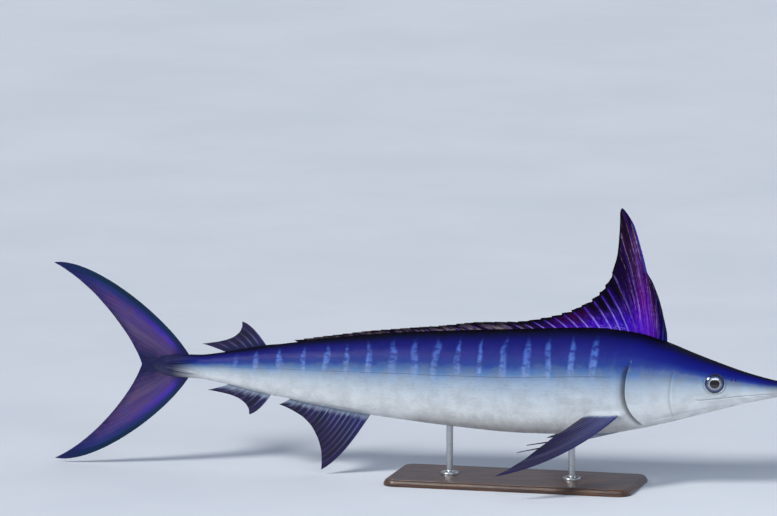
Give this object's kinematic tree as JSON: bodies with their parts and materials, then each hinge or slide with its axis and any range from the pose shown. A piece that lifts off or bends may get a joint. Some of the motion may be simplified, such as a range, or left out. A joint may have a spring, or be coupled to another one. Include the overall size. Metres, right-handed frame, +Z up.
{
  "type": "striped marlin",
  "caption": "Life-size swimming marlin with a raised first dorsal fin, level on a plain display stand with a flat base.",
  "frame": {"origin": "middle of the whole model's length and width, on the surface that the stand rests on", "axes": "+X towards the fish's bill, +Y towards its left side, +Z up"},
  "size_m": [2.9926, 0.715, 0.921],
  "materials": {
    "fish_skin": "wet, smooth fish skin: deep blue-violet back, silvery sides with pale blue bars, white belly",
    "dorsal_fin": "wet fin membrane, violet to deep blue with dark streaks and pale rays",
    "tail_fin": "wet fin membrane, dusky purple with a dark blue-green leading edge",
    "small_fins": "wet fin membrane, dark blue-violet",
    "eye": "clear polished dome over a dark pupil and a silvery blue iris",
    "stand_wood": "dark stained hardwood, satin lacquer",
    "stand_steel": "brushed steel"
  },
  "bodies": {
    "root": {"bill": "fish_skin", "lower_jaw": "fish_skin", "head": "fish_skin", "gill_cover_left": "fish_skin", "gill_cover_right": "fish_skin", "eye_left": "eye", "eye_right": "eye", "torso_front": "fish_skin", "torso_rear": "fish_skin", "tail_stem": "fish_skin", "dorsal_fin_first": "dorsal_fin", "dorsal_fin_second": "small_fins", "anal_fin_first": "small_fins", "anal_fin_second": "small_fins", "tail_fin_upper": "tail_fin", "tail_fin_lower": "tail_fin", "pectoral_fin_left": "small_fins", "pectoral_fin_right": "small_fins", "pelvic_fin_left": "small_fins", "pelvic_fin_right": "small_fins", "stand_base": "stand_wood", "stand_rod_front": "stand_steel", "stand_rod_rear": "stand_steel"}
  },
  "joints": []
}
